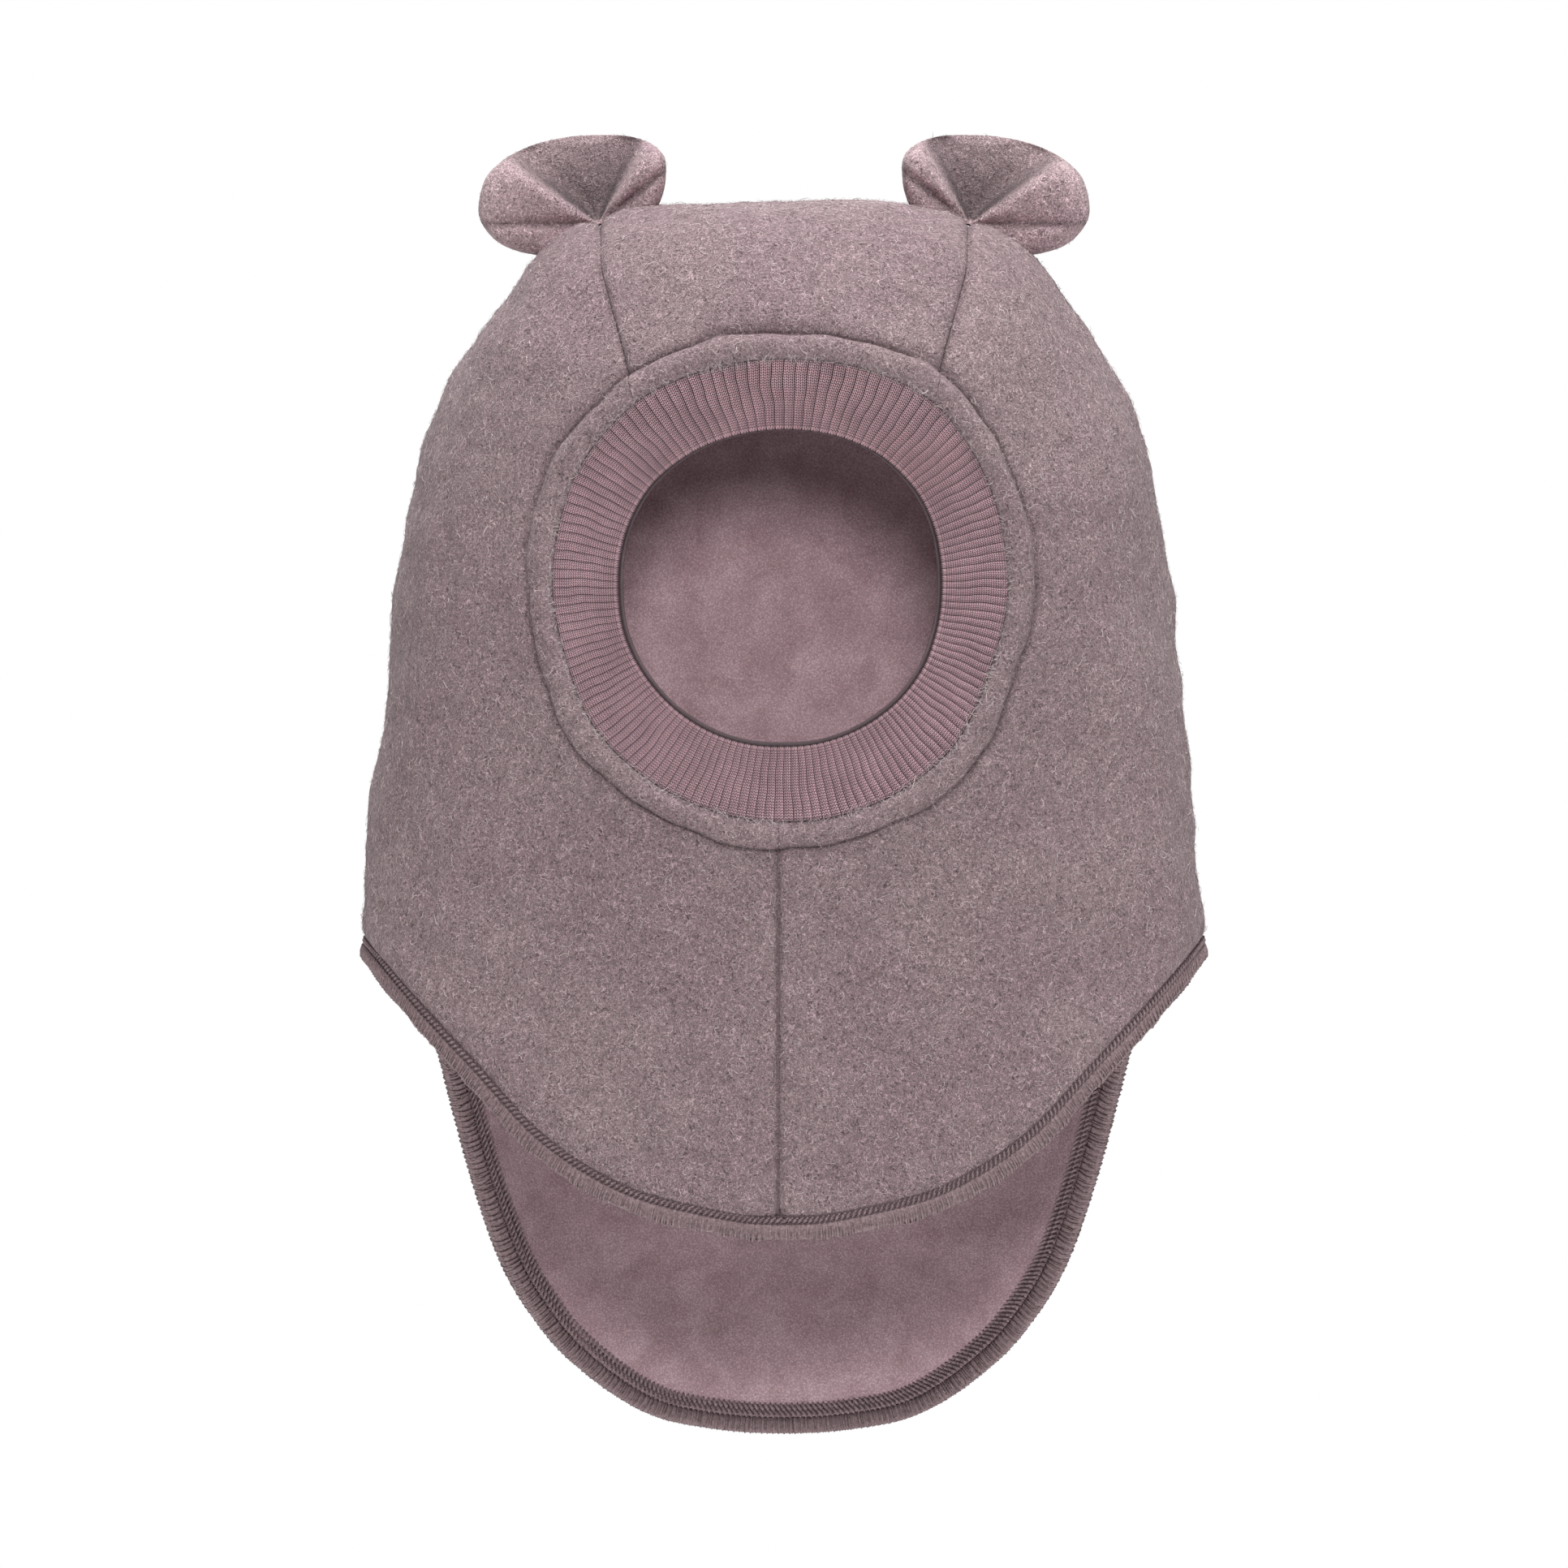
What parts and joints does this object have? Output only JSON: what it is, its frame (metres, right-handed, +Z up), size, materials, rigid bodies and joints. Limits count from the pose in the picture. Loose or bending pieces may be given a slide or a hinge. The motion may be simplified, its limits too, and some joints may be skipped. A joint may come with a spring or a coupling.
{
  "type": "baby hat with ears",
  "caption": "Baby's fleece balaclava with a ribbed round face opening, front and back bibs and cupped ears.",
  "frame": {"origin": "where the top of the head meets the inside of the lining, in the middle of the crown", "axes": "+Z up, -Y the way the face looks, +X the wearer's left"},
  "size_m": [0.2082, 0.169, 0.3214],
  "materials": {
    "wool_fleece": "brushed wool fleece with short curly fibres, dusty mauve",
    "lining_jersey": "soft napped jersey, rosy mauve",
    "rib_knit": "fine rib knit, rosy mauve",
    "overlock_thread": "matt overlock thread, greyish mauve"
  },
  "bodies": {
    "root": {"crown_panel": "wool_fleece", "side_panel_right": "wool_fleece", "side_panel_left": "wool_fleece", "ear_left": "wool_fleece", "ear_right": "wool_fleece", "lining": "lining_jersey", "face_cuff": "rib_knit", "hem_edging": "overlock_thread"}
  },
  "joints": []
}
